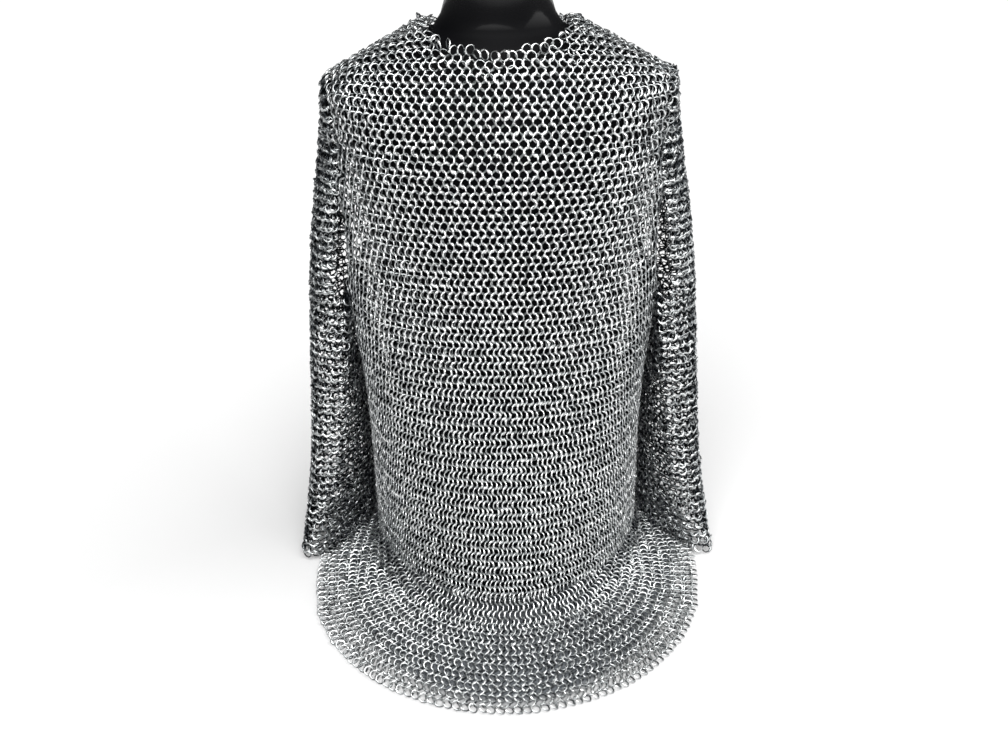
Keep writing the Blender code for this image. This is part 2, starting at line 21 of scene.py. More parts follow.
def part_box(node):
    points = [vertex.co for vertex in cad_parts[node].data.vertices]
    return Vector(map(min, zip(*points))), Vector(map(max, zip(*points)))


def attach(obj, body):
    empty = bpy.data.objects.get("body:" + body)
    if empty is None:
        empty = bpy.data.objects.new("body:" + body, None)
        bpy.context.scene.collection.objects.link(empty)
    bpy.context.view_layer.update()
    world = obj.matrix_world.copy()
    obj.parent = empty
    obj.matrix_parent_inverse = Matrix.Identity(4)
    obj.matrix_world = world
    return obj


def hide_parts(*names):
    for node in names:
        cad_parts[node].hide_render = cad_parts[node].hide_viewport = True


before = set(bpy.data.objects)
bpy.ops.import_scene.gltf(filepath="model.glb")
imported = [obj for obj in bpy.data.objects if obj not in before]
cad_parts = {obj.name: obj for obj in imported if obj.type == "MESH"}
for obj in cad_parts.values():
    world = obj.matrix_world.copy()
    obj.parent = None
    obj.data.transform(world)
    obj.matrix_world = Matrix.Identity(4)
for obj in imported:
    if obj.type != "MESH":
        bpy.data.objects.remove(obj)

LOG = logging.getLogger("hauberk")
MAIL_WALL = 0.005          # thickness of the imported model's mail
RIDGE_Y = 0.010            # depth at which the shoulder line lies
FOOT_Z = 0.030             # height at which the skirt bends out
YOKE_Z = 0.600             # lower edge of the yoke
ARMPIT_Z = 0.392           # height at which the sleeves leave the body
NECK_Z = 0.600             # height above which the edge of the neck lies
NECK_HALF = 0.075          # half the width of the neck opening
SEARCH = 0.7               # how far out a search for a wall starts
GRAZING = 0.12             # a wall that turns further from the way of a search is passed by


# ---------------------------------------------------------------------------------------------
# Finishes
# ---------------------------------------------------------------------------------------------

class Num:
    """A number carried by a node socket: sums written with it add Math nodes."""

    def __init__(self, bench: "Bench", socket: bpy.types.NodeSocket) -> None:
        """Wrap one output socket."""
        self.bench = bench
        self.socket = socket

    def _with(self, operation: str, first: Any, second: Any) -> "Num":
        """Add one Math node.

        Args:
            operation: the Math node's operation.
            first: a Num or a plain number.
            second: a Num or a plain number.

        Returns:
            The node's result.
        """
        values = {n: v.socket if isinstance(v, Num) else float(v) for n, v in enumerate((first, second))}
        node = self.bench.node("ShaderNodeMath", {"operation": operation}, values)
        return Num(self.bench, node.outputs[0])

    def __add__(self, other: Any) -> "Num":
        """Sum."""
        return self._with("ADD", self, other)

    __radd__ = __add__

    def __sub__(self, other: Any) -> "Num":
        """Difference."""
        return self._with("SUBTRACT", self, other)

    def __rsub__(self, other: Any) -> "Num":
        """Difference, the other way round."""
        return self._with("SUBTRACT", other, self)

    def __mul__(self, other: Any) -> "Num":
        """Product."""
        return self._with("MULTIPLY", self, other)

    __rmul__ = __mul__

    def most(self, other: Any) -> "Num":
        """The larger of the two."""
        return self._with("MAXIMUM", self, other)


class Bench:
    """Builds the nodes of one material."""

    def __init__(self, name: str) -> None:
        """Start a material with only its output and one Principled shader."""
        self.material = bpy.data.materials.new(name)
        self.material.use_nodes = True
        self.tree = self.material.node_tree
        self.shader = self.tree.nodes["Principled BSDF"]

    def node(self, kind: str, settings: dict[str, Any], values: dict[Any, Any]) -> bpy.types.Node:
        """Add a node.

        Args:
            kind: the node's type.
            settings: its own settings, set first; "stops" are the stops of a colour ramp.
            values: a value, an output socket or a Num for each input, by name or number.

        Returns:
            The new node.
        """
        node = self.tree.nodes.new(kind)
        for name, value in settings.items():
            if name == "stops":
                ramp = node.color_ramp
                for n, (place, colour) in enumerate(value):
                    stop = ramp.elements[n] if n < 2 else ramp.elements.new(place)
                    stop.position = place
                    stop.color = (*colour, 1.0)
            else:
                setattr(node, name, value)
        for name, value in values.items():
            self.put(node.inputs[name], value)
        return node

    def put(self, socket: bpy.types.NodeSocket, value: Any) -> None:
        """Set an input to a value, or link it to an output."""
        if isinstance(value, Num):
            value = value.socket
        if isinstance(value, bpy.types.NodeSocket):
            self.tree.links.new(value, socket)
        else:
            socket.default_value = value

    def dress(self, **values: Any) -> bpy.types.Material:
        """Set the shader's inputs, written with underscores for spaces.

        Returns:
            The finished material.
        """
        for name, value in values.items():
            self.put(self.shader.inputs[name.replace("_", " ").title().replace("Ior", "IOR")], value)
        return self.material

    def place(self) -> bpy.types.NodeSocket:
        """The point's own place on the object, in metres."""
        return self.node("ShaderNodeTexCoord", {}, {}).outputs["Object"]

    def noise(self, scale: float, detail: float = 3.0, roughness: float = 0.55) -> Num:
        """Even noise from 0 to 1.

        Args:
            scale: lumps in a metre.
            detail: how many finer layers it has.
            roughness: how strong those are.

        Returns:
            The noise.
        """
        values = {"Vector": self.place(), "Scale": scale, "Detail": detail, "Roughness": roughness}
        return Num(self, self.node("ShaderNodeTexNoise", {}, values).outputs["Fac"])

    def attribute(self, name: str) -> Num:
        """A number kept on the mesh."""
        return Num(self, self.node("ShaderNodeAttribute", {"attribute_name": name}, {}).outputs["Fac"])

    def ramp(self, factor: Num, *stops: tuple[float, tuple[float, float, float]]) -> bpy.types.NodeSocket:
        """A colour that changes with a number through the given stops."""
        node = self.node("ShaderNodeValToRGB", {"stops": stops}, {"Fac": factor})
        return node.outputs["Color"]

    def bump(self, height: Num, depth: float, strength: float) -> bpy.types.NodeSocket:
        """A surface relief.

        Args:
            height: the relief, from 0 to 1.
            depth: its depth in metres.
            strength: its share.

        Returns:
            The changed normal.
        """
        values = {"Height": height, "Distance": depth, "Strength": strength}
        return self.node("ShaderNodeBump", {}, values).outputs["Normal"]


@dataclass(frozen=True)
class SteelFinish:
    """Riveted steel wire: painted bright on its outer wires and laps and dark on its inner ones, as painted
    highlight and painted shade with some rub and old oil in it.
    """

    name: str
    # Colours along the tone: the darkest fall mostly on the painted shade of inner and sideways wires, the
    # brightest on the painted highlight of outer wires and laps
    oiled_and_shaded: tuple[float, float, float] = (0.007, 0.009, 0.011)
    dull_and_shaded: tuple[float, float, float] = (0.046, 0.051, 0.056)
    steel: tuple[float, float, float] = (0.33, 0.345, 0.35)
    rubbed_and_lit: tuple[float, float, float] = (0.60, 0.62, 0.62)
    polished_and_lit: tuple[float, float, float] = (0.88, 0.89, 0.89)
    shine: float = 0.20
    dullness: float = 0.30
    ring_share: float = 0.34      # how much one ring differs from another in tone
    grime_share: float = 0.30     # how much patches of grime do
    fine_share: float = 0.10      # how much fine marks do, in tone and in roughness
    lap_highlight: float = 0.30       # painted highlight: how much brighter the laps are painted

    def make(self) -> bpy.types.Material:
        """Build the material."""
        bench = Bench(self.name)
        ring = bench.attribute("ring_tone")
        lap = bench.attribute("lap")
        rub_and_painted_shade = bench.attribute("rub_and_painted_shade")
        grime = bench.noise(60.0, 4.0)
        fine = bench.noise(900.0, 2.0)
        # The tone is the painted light and shade kept on each point, plus a random tone for each ring, grime
        # patches, fine marks and a painted highlight on the laps
        tone = (rub_and_painted_shade + (ring - 0.5) * self.ring_share + (grime - 0.5) * self.grime_share
                + (fine - 0.5) * self.fine_share + lap * self.lap_highlight)
        colour = bench.ramp(tone, (0.06, self.oiled_and_shaded), (0.26, self.dull_and_shaded), (0.50, self.steel),
                            (0.80, self.rubbed_and_lit), (1.0, self.polished_and_lit))
        roughness = self.shine + self.dullness * (1.0 - rub_and_painted_shade) * grime + self.fine_share * fine
        return bench.dress(base_color=colour, roughness=roughness, metallic=1.0,
                           normal=bench.bump(fine, 0.0004, 0.35))


@dataclass(frozen=True)
class GlossFinish:
    """The dress form's black gloss coat, with faint dust and handling marks."""

    name: str
    colour: tuple[float, float, float] = (0.0012, 0.0012, 0.0016)
    dust: tuple[float, float, float] = (0.0018, 0.0019, 0.0024)
    shoulder: float = 0.715       # height below which the mail has worn the gloss off
    neck: float = 0.745           # height above which it is whole
    coat: float = 0.50            # strength of the whole coat
    coat_roughness: float = 0.12
    matt: float = 0.46            # roughness under the coat, where it is cleanest
    smears: float = 0.14          # how much rougher smears make it
    specular: float = 0.04

    def make(self) -> bpy.types.Material:
        """Build the material."""
        bench = Bench(self.name)
        smear = bench.noise(14.0, 5.0, 0.6)
        speck = bench.noise(420.0, 2.0)
        colour = bench.ramp(smear * 0.6 + speck * 0.4, (0.35, self.colour), (0.75, self.dust))
        height = Num(bench, bench.node("ShaderNodeSeparateXYZ", {}, {0: bench.place()}).outputs["Z"])
        gloss = (height - self.shoulder) * (1.0 / (self.neck - self.shoulder))
        whole = bench.ramp(gloss, (0.0, (0.0,) * 3), (1.0, (self.coat,) * 3))
        return bench.dress(base_color=colour, roughness=self.matt + self.smears * smear,
                           specular_ior_level=self.specular, coat_weight=whole,
                           coat_roughness=self.coat_roughness, normal=bench.bump(smear, 0.0006, 0.10))


@dataclass(frozen=True)
class PaperFinish:
    """The plain white sweep under the part, with a painted shadow where the shirt lies on it."""

    name: str = "white_sweep"
    colour: tuple[float, float, float] = (0.56, 0.56, 0.56)
    painted_shadow: tuple[float, float, float] = (0.11, 0.12, 0.13)
    hem: float = 0.009            # how far inside the hem the painted shadow ends
    fade: float = 0.90            # where it starts to fade, as a share of the squared way to its end
    grain_share: float = 0.02     # how ragged its end is

    def make(self) -> bpy.types.Material:
        """Build the material."""
        bench = Bench(self.name)
        grain = bench.noise(240.0, 3.0)
        low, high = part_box("skirt_front")[0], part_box("skirt_back")[1]
        split = bench.node("ShaderNodeSeparateXYZ", {}, {0: bench.place()})
        side = Num(bench, split.outputs["X"]) * (1.0 / (high.x - self.hem))
        depth = Num(bench, split.outputs["Y"]) - RIDGE_Y
        front = depth * (1.0 / (low.y - RIDGE_Y + self.hem))
        rear = depth * (1.0 / (high.y - RIDGE_Y - self.hem))
        depth = front.most(rear)
        out = side * side + depth * depth + (grain - 0.5) * self.grain_share
        # A painted shadow: the sweep is painted dark inside the outline of the shirt's hem, fading out
        # towards it
        colour = bench.ramp(out, (self.fade, self.painted_shadow), (1.0, self.colour))
        return bench.dress(base_color=colour, roughness=0.75 + 0.1 * grain)


# ---------------------------------------------------------------------------------------------
# The ring and the net
# ---------------------------------------------------------------------------------------------

class Detail(Enum):
    """How many facets a ring is made of, along its wire."""

    NEAR = 10
    MIDDLE = 8
    FAR = 6


@dataclass(frozen=True)
class Ring:
    """One ring of round wire with a flattened, riveted lap."""

    inner_diameter: float = 0.0100
    wire: float = 0.0017
    section_radius: float = 0.00098    # of the three-sided section that stands for the round wire
    lap_width: float = 2.6             # how much wider than the wire the lap is
    lap_thickness: float = 1.15        # how much thicker
    lap_taper: float = 1.60            # how much wider the wire is beside it
    lap_half: float = 0.2              # half the angle that the lap takes up, in radians
    taper_facets: float = 1.1          # how far the taper reaches, in facets
    sides: int = 3
    weld: float = 0.00005              # points closer than this are one
    play: float = 0.0001               # room between linked wires
    tightness: float = 0.985           # how nearly tight the rows are pulled
    bed: float = 1.9                   # room between the wire's middle and the surface, in section radii
    lean_pitches: tuple[float, ...] = (0.0055, 0.0075, 0.0095, 0.0112)
    leans: tuple[float, ...] = (46.0, 35.0, 27.0, 24.0)    # degrees, at those pitches
    flat_pitch: float = 0.0088         # how close the rings lie in slack mail on a table
    flat_row: float = 0.0078

    @property
    def middle_radius(self) -> float:
        """Radius of the wire's middle line."""
        return (self.inner_diameter + self.wire) / 2

    @property
    def reach(self) -> float:
        """The longest distance at which two linked rings' middles can lie."""
        return self.inner_diameter - self.play

    def lean(self, pitch: float) -> float:
        """How far the rings of a row lean when they lie this far apart, in radians."""
        return math.radians(float(np.interp(pitch, self.lean_pitches, self.leans)))

    def row_step(self, pitch: float) -> float:
        """The distance between two rows, pulled nearly tight."""
        return self.tightness * math.sqrt(self.reach ** 2 - (pitch / 2) ** 2)

    def make(self, detail: Detail) -> tuple[np.ndarray, np.ndarray]:
        """Shape the ring flat round the origin.

        Args:
            detail: how many facets it gets along its wire.

        Returns:
            Its points, and its faces as point numbers.
        """
        mesh = bmesh.new()
        circle = bmesh.ops.create_circle(mesh, segments=self.sides, radius=self.section_radius)
        stand = Matrix.Translation((self.middle_radius, 0, 0)) @ Matrix.Rotation(math.pi / 2, 4, "X")
        bmesh.ops.transform(mesh, matrix=stand, verts=circle["verts"])
        bmesh.ops.spin(mesh, geom=mesh.verts[:] + mesh.edges[:], cent=(0, 0, 0), axis=(0, 0, 1),
                       angle=2 * math.pi, steps=detail.value, use_merge=True)
        bmesh.ops.remove_doubles(mesh, verts=mesh.verts[:], dist=self.weld)
        for vert in mesh.verts:
            away = abs(math.atan2(vert.co.y, vert.co.x))
            if away < self.lap_half:
                vert.co.x = self.middle_radius + (vert.co.x - self.middle_radius) * self.lap_width
                vert.co.z *= self.lap_thickness
            elif away < self.taper_facets * 2 * math.pi / detail.value:
                middle = Vector((vert.co.x, vert.co.y, 0)).normalized() * self.middle_radius
                vert.co.xy = middle.xy + (vert.co.xy - middle.xy) * self.lap_taper
        bmesh.ops.recalc_face_normals(mesh, faces=mesh.faces[:])
        points = np.array([vert.co[:] for vert in mesh.verts])
        faces = np.array([[vert.index for vert in face.verts] for face in mesh.faces])
        mesh.free()
        return points, faces


@dataclass
class Places:
    """Where rings lie."""

    middle: np.ndarray
    along: np.ndarray             # direction along the row
    across: np.ndarray            # direction across it
    pitch: np.ndarray
    row: np.ndarray
    free: np.ndarray              # which rings stand up at the edge of the neck

    def mirrored(self) -> "Places":
        """The same rings on the other side, leaning as their rows do."""
        flip = np.array((-1.0, 1.0, 1.0))
        return Places(self.middle * flip, -self.along * flip, self.across * flip, self.pitch, self.row,
                      self.free)

    def chosen(self, keep: np.ndarray) -> "Places":
        """Only some of the rings."""
        return Places(self.middle[keep], self.along[keep], self.across[keep], self.pitch[keep],
                      self.row[keep], self.free[keep])

    def joined(self, other: "Places") -> "Places":
        """These rings and others."""
        pairs = ((self.middle, other.middle), (self.along, other.along), (self.across, other.across),
                 (self.pitch, other.pitch), (self.row, other.row), (self.free, other.free))
        return Places(*(np.concatenate(pair) for pair in pairs))

    def flat(self, ring: Ring) -> tuple[float, float, float]:
        """How large this much net is when it lies slack on a table.

        Args:
            ring: its ring.

        Returns:
            The width of its longest row, the length of all its rows, and its area.
        """
        rows, counts = np.unique(self.row, return_counts=True)
        return (float(counts.max() * ring.flat_pitch), float(len(rows) * ring.flat_row),
                float(counts.sum() * ring.flat_pitch * ring.flat_row))


def unit(vectors: np.ndarray) -> np.ndarray:
    """Vectors of length one."""
    return vectors / np.maximum(np.linalg.norm(vectors, axis=-1, keepdims=True), 1e-12)


def slopes(grid: np.ndarray, axis: int) -> np.ndarray:
    """The mean step to the neighbours on a grid of points, where there are any.

    Args:
        grid: rows and columns of points, not a number where there is no net.
        axis: 0 for the step between rows, 1 for the step between columns.

    Returns:
        A step for each point.
    """
    gap = np.full_like(grid.take([0], axis=axis), np.nan)
    step = np.diff(grid, axis=axis)
    both = np.stack((np.concatenate((step, gap), axis), np.concatenate((gap, step), axis)))
    known = ~np.isnan(both)
    total = np.where(known, both, 0.0).sum(axis=0)
    return total / np.maximum(known.sum(axis=0), 1)


def settled(grid: np.ndarray, axis: int, passes: int) -> np.ndarray:
    """Even out the small flats of a grid of points, and leave its edges where they are."""
    grid = grid.copy()
    for _ in range(passes):
        moved = np.moveaxis(grid, axis, 0)
        mean = 0.25 * moved[:-2] + 0.5 * moved[1:-1] + 0.25 * moved[2:]
        moved[1:-1] = np.where(np.isnan(mean), moved[1:-1], mean)
    return grid


@dataclass(frozen=True)
class WearAndShade:
    """How bright the mail of one piece is painted, with painted shade and painted highlight as well as rub,
    and how its rings lie.
    """

    middle: float = 0.42          # brightness of the middle of the closest mail
    slack: float = 0.49           # how much brighter the widest mail is
    side: float = 0.82            # painted shade: how much darker mail that faces sideways is painted
    level: float = 0.34           # painted shade: how much darker mail that lies level is painted
    relief: float = 0.0070        # depth over which the closest mail goes from its painted dark inner wires to its painted bright outer ones
    slack_relief: float = 0.0060  # how much more it is in the widest mail
    lap_turn: float = 1.1         # how far laps stray from the outward side, in radians
    lean_gain: float = 1.0        # how much more than usual the rings lean
    wobble: float = 4.0           # how far a ring strays from its lean, in degrees
    stray: float = 0.00028        # how far it strays from its place, in metres


@dataclass
class Net:
    """A piece of mail: rings copied into their places as one mesh."""

    name: str
    ring: Ring
    detail: Detail
    seed: int
    loose: float = 50.0           # how far a ring at the neck stands up, in degrees
    lift: float = 0.0022          # how far it stands out, in metres
    open_span: tuple[float, float] = (-0.04, 0.02)     # between these places across the neck
    open_leans: tuple[float, float] = (56.0, 14.0)     # its lean goes from one to the other, in degrees
    ruffle: float = 0.022         # how far below the neck's edge the mail is ruffled
    ruffle_turn: float = 4.0      # how much more a ruffled ring turns
    ruffle_shift: float = 3.0     # how much more it shifts
    slack_pitches: tuple[float, ...] = (0.0057, 0.0075, 0.0110)
    slacks: tuple[float, ...] = (0.0, 0.55, 1.0)       # how slack mail is, at those pitches
    tight_share: float = 0.4      # how much of the painted sideways shade the closest mail has
    wear_and_shade: WearAndShade = field(default_factory=WearAndShade)

    def make(self, places: Places, finish: bpy.types.Material) -> bpy.types.Object:
        """Copy the ring into every place.

        Args:
            places: where the rings lie.
            finish: their material.

        Returns:
            The new piece.
        """
        rng = np.random.default_rng(self.seed)
        count = len(places.middle)
        along, across = unit(places.along), unit(places.across)
        out = unit(np.cross(along, across))
        across = unit(np.cross(out, along))
        lean = np.array([self.ring.lean(pitch) for pitch in places.pitch]) * self.wear_and_shade.lean_gain
        wobble, more = self.wear_and_shade.wobble, self.ruffle_turn * self.wear_and_shade.wobble
        lean = np.where(places.row % 2 == 1, -lean, lean) + np.radians(rng.normal(0, wobble, count))
        nod = np.radians(rng.normal(0, wobble, count))
        rumple = self.rumple(places)
        lean += rumple * np.radians(rng.normal(0, more, count))
        nod += rumple * np.radians(rng.normal(0, more, count))
        open_lean = np.radians(np.interp(places.middle[:, 0], self.open_span, self.open_leans))
        lean = np.where(places.free, np.sign(lean) * open_lean + 0.3 * lean, lean)
        nod = np.where(places.free, -np.radians(rng.uniform(0.3, 1.0, count) * self.loose), nod)
        face = out * np.cos(lean)[:, None] + along * np.sin(lean)[:, None]
        face = unit(face + across * np.tan(nod)[:, None])
        first = unit(np.cross(across, face))
        second = np.cross(face, first)
        turn = np.where(lean > 0, math.pi, 0.0) + rng.normal(0, self.wear_and_shade.lap_turn, count)
        turn = turn[:, None]
        axis_x = first * np.cos(turn) + second * np.sin(turn)
        axis_y = second * np.cos(turn) - first * np.sin(turn)
        strays = rng.normal(0, self.wear_and_shade.stray, (count, 3))
        middle = places.middle + strays * (1 + self.ruffle_shift * rumple)[:, None]
        middle += (out + 0.5 * across) * (self.lift * places.free)[:, None]
        middle[:, 2] = np.maximum(middle[:, 2], self.lowest(face))
        shape, faces = self.ring.make(self.detail)
        points = (middle[:, None] + shape[None, :, :1] * axis_x[:, None]
                  + shape[None, :, 1:2] * axis_y[:, None] + shape[None, :, 2:] * face[:, None])
        corners = faces[None] + (np.arange(count) * len(shape))[:, None, None]
        # Painted light and shade for each point: a brightness set by how wide the mail is, painted shade
        # where it faces sideways or lies level, and painted shade on the inner wires with painted highlight
        # on the outer ones, from each point's height over the ring's middle
        height = np.einsum("nij,nj->ni", points - middle[:, None], out)
        slack = np.interp(places.pitch, self.slack_pitches, self.slacks)[:, None]
        shaded = self.wear_and_shade.side * out[:, :1] ** 2 * (self.tight_share + (1 - self.tight_share) * slack)
        shaded = shaded + self.wear_and_shade.level * np.abs(out[:, 2:])
        rub_and_painted_shade = self.wear_and_shade.middle + self.wear_and_shade.slack * slack - shaded
        rub_and_painted_shade = rub_and_painted_shade + height / (self.wear_and_shade.relief + self.wear_and_shade.slack_relief * slack)
        tones = {"ring_tone": np.repeat(rng.beta(1.6, 1.6, count), len(shape)),
                 "rub_and_painted_shade": np.clip(rub_and_painted_shade.ravel(), 0.0, 1.0),
                 "lap": np.tile(np.abs(np.arctan2(shape[:, 1], shape[:, 0])) < self.ring.lap_half, count)}
        return self.as_object(points.reshape(-1, 3), corners.reshape(-1, faces.shape[1]), tones, finish)

    def rumple(self, places: Places) -> np.ndarray:
        """How ruffled the mail is at each place, from 0 to 1: only round the edge of the neck."""
        if not places.free.any():
            return np.zeros(len(places.middle))
        top = places.middle[places.free]
        far = np.linalg.norm(places.middle[:, None] - top[None, ::3], axis=2).min(axis=1)
        return np.exp(-(far / self.ruffle) ** 2)

    def lowest(self, face: np.ndarray) -> np.ndarray:
        """The lowest height at which a ring's middle may lie over the surface below."""
        return (self.ring.middle_radius * np.sqrt(np.maximum(1 - face[:, 2] ** 2, 0))
                + self.ring.bed * self.ring.section_radius)

    def as_object(self, points: np.ndarray, corners: np.ndarray, tones: dict[str, np.ndarray],
                  finish: bpy.types.Material) -> bpy.types.Object:
        """Turn arrays of points and faces into a piece.

        Args:
            points: the points' places.
            corners: four point numbers for each face.
            tones: numbers for the finish, one at each point.
            finish: the material.

        Returns:
            The new piece.
        """
        mesh = bpy.data.meshes.new(self.name)
        mesh.vertices.add(len(points))
        mesh.vertices.foreach_set("co", points.ravel())
        mesh.loops.add(corners.size)
        mesh.loops.foreach_set("vertex_index", corners.ravel())
        mesh.polygons.add(len(corners))
        mesh.polygons.foreach_set("loop_start", np.arange(len(corners)) * corners.shape[1])
        mesh.update(calc_edges=True)
        mesh.shade_smooth()
        for name, values in tones.items():
            layer = mesh.attributes.new(name, "FLOAT", "POINT")
            layer.data.foreach_set("value", values.astype(np.float32))
        mesh.materials.append(finish)
        item = bpy.data.objects.new(self.name, mesh)
        bpy.context.scene.collection.objects.link(item)
        count = len(points) // (self.detail.value * self.ring.sides)
        LOG.info("%s: %d rings, %d triangles", self.name, count, 2 * len(corners))
        return item


class Guide:
    """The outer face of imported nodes, as something to lay rings on."""

    def __init__(self, *names: str) -> None:
        """Read the nodes' meshes."""
        points: list[Vector] = []
        faces: list[tuple[int, ...]] = []
        for name in names:
            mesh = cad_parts[name].data
            start = len(points)
            points += [vert.co.copy() for vert in mesh.vertices]
            faces += [tuple(start + n for n in face.vertices) for face in mesh.polygons]
        self.tree = BVHTree.FromPolygons(points, faces)

    def skin(self, centre: tuple[float, float, float], way: tuple[float, float, float],
             reach: float = SEARCH) -> np.ndarray:
        """The middle of the mail that is met on the way in to a point.

        Args:
            centre: the point.
            way: the direction outwards from it.
            reach: how far out the search starts.

        Returns:
            The place, or not a number where there is no mail.
        """
        start, out = Vector(centre), Vector(way).normalized()
        hit, normal, _, _ = self.tree.ray_cast(start + out * reach, -out, reach)
        if hit is None or normal.dot(out) < GRAZING:
            return np.full(3, np.nan)
        return np.array(hit - normal * (MAIL_WALL / 2))


def lengths(line: np.ndarray) -> np.ndarray:
    """How far along a line each of its points lies."""
    return np.concatenate(([0.0], np.cumsum(np.linalg.norm(np.diff(line, axis=0), axis=1))))


def along_line(line: np.ndarray, reach: np.ndarray, wanted: np.ndarray) -> np.ndarray:
    """Points at given distances along a line, not a number beyond its end."""
    points = np.stack([np.interp(wanted, reach, line[:, n]) for n in range(3)], axis=1)
    points[(wanted < -1e-9) | (wanted > reach[-1] + 1e-9)] = np.nan
    return points


# ---------------------------------------------------------------------------------------------
# The shirt
# ---------------------------------------------------------------------------------------------

class Face(Enum):
    """The two faces of the body, as the sign of their depth."""

    FRONT = -1
    BACK = 1


@dataclass
class Weave:
    """How close the rings of the body lie at each height."""

    heights: tuple[float, ...] = (0.03, 0.12, 0.21, 0.29, 0.36, 0.43, 0.50, 0.56, 0.61, 0.70)
    pitches: tuple[float, ...] = (0.0057, 0.00585, 0.00615, 0.00685, 0.0075, 0.0084, 0.0093, 0.0100,
                                  0.0108, 0.0110)
    slope: float = 0.975       # rise of the wall for each step along it

    def pitch(self, height: float) -> float:
        """The distance between rings of a row."""
        return float(np.interp(height, self.heights, self.pitches))

    def levels(self, ring: Ring) -> list[float]:
        """The heights of the body's rows, from the foot up to the yoke's lower edge."""
        rows = [FOOT_Z + 0.5 * ring.row_step(self.pitch(FOOT_Z))]
        while rows[-1] < YOKE_Z:
            rows.append(rows[-1] + self.slope * ring.row_step(self.pitch(rows[-1])))
        return rows[:-1]


@dataclass
class Body:
    """The front or the back of the shirt, from the foot of the body up over the shoulder."""

    face: Face
    ring: Ring
    weave: Weave
    fine: int = 90                # samples on a quarter of the body
    half_girth: float = 0.40      # more than half the longest row
    overrun: float = 0.10         # how far a row's last ring may pass the edge, in pitches
    neck_clearance: float = 0.0046
    armhole_overlap: float = 0.0160
    over_ridge: float = 0.0070    # how far the front reaches over the shoulder line
    under_ridge: float = 0.0025   # how far the back does
    yoke_rows: int = 26           # more than the yoke has
    yoke_rise: float = 0.006      # how much higher each of them lies
    yoke_turn: int = 100          # how far a line up the yoke is followed, in degrees
    neck_turn: int = 84           # a gap in it before this turn is the neck
    ridge_turn: int = 95          # a line that ends before this turn ends at the neck
    guide: Guide = field(init=False)
    both: Guide = field(init=False)

    def __post_init__(self) -> None:
        """Read the panels."""
        self.guide = Guide("front_panel" if self.face is Face.FRONT else "back_panel")
        self.both = Guide("front_panel", "back_panel")

    def level_line(self, height: float) -> np.ndarray:
        """The mail's middle along one level, from the middle of the panel to its edge."""
        line = []
        for n in range(self.fine + 1):
            turn = math.pi / 2 * n / self.fine
            way = (math.sin(turn), self.face.value * math.cos(turn), 0.0)
            line.append(self.guide.skin((0.0, RIDGE_Y, height), way))
        return np.array(line)

    def tube(self) -> tuple[np.ndarray, np.ndarray]:
        """The rows of the body below the yoke.

        Returns:
            A grid of points with a column for each half ring, and each row's pitch.
        """
        levels = self.weave.levels(self.ring)
        lines = settled(np.array([self.level_line(height) for height in levels]), 0, 8)
        lines = settled(lines, 1, 3)
        halves = int(self.half_girth / min(self.weave.pitches) * 2)
        grid = np.full((len(levels), halves, 3), np.nan)
        pitches = np.array([self.weave.pitch(height) for height in levels])
        for row, line in enumerate(lines):
            line = line[~np.isnan(line[:, 0])]
            if levels[row] > ARMPIT_Z:
                line = np.vstack((line, line[-1] + unit(line[-1] - line[-3]) * self.armhole_overlap))
            reach = lengths(line)
            wanted = np.arange(halves) * pitches[row] / 2
            points = along_line(line, reach, np.minimum(wanted, reach[-1]))
            points[wanted > reach[-1] + self.overrun * pitches[row]] = np.nan
            grid[row] = points
        return grid, pitches

    def yoke(self, start: float, columns: int) -> np.ndarray:
        """The rows of the yoke, which climb from the body's last row over the shoulder.

        Args:
            start: height of the body's last row.
            columns: how many half rings its rows have.

        Returns:
            A grid of points.
        """
        pitch = self.weave.pitch(start)
        base = self.level_line(start)
        base = base[~np.isnan(base[:, 0])]
        reach = lengths(base)
        feet = np.interp(np.arange(columns) * pitch / 2, reach, base[:, 0])
        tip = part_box("front_panel")[1].x - MAIL_WALL / 2
        last = reach[-1] / (pitch / 2)
        tops = np.minimum(np.arange(columns) / last, 1.0) * tip
        steps = np.cumsum([self.ring.row_step(self.weave.pitch(start + self.yoke_rise * n))
                           for n in range(self.yoke_rows)])
        grid = np.full((len(steps), columns, 3), np.nan)
        for column in range(columns):
            if column > last:
                break
            line, degrees = [], []
            for degree in range(self.yoke_turn + 1):
                share = min(degree / 90, 1.0)
                ease = share * share * (3 - 2 * share)
                angle = math.radians(degree)
                out = feet[column] + (tops[column] - feet[column]) * ease
                way = (0.0, self.face.value * math.cos(angle), math.sin(angle))
                place = self.both.skin((out, RIDGE_Y, start), way, 0.3)
                if not np.isnan(place[0]):
                    line.append(place)
                    degrees.append(degree)
                elif len(line) > 3 and degree < self.neck_turn:
                    break
            line = np.array(line)
            if len(line) < 5:
                continue
            reach_up = lengths(line)
            over = self.over_ridge if self.face is Face.FRONT else self.under_ridge
            if degrees[-1] < self.ridge_turn:
                limit = reach_up[-1] - self.neck_clearance
            else:
                limit = np.interp(90, degrees, reach_up) + over
            points = along_line(line, reach_up, np.minimum(steps, reach_up[-1]))
            points[steps > limit] = np.nan
            grid[:, column] = points
        return grid

    def places(self) -> Places:
        """Where the rings of this face lie."""
        grid, pitches = self.tube()
        top = self.yoke(self.weave.levels(self.ring)[-1], grid.shape[1])
        grid = np.concatenate((grid, top))
        upper = [self.weave.pitch(YOKE_Z + self.yoke_rise * n) for n in range(len(top))]
        pitches = np.concatenate((pitches, upper))
        return half_to_whole(grid, pitches, 1.0 if self.face is Face.FRONT else -1.0)


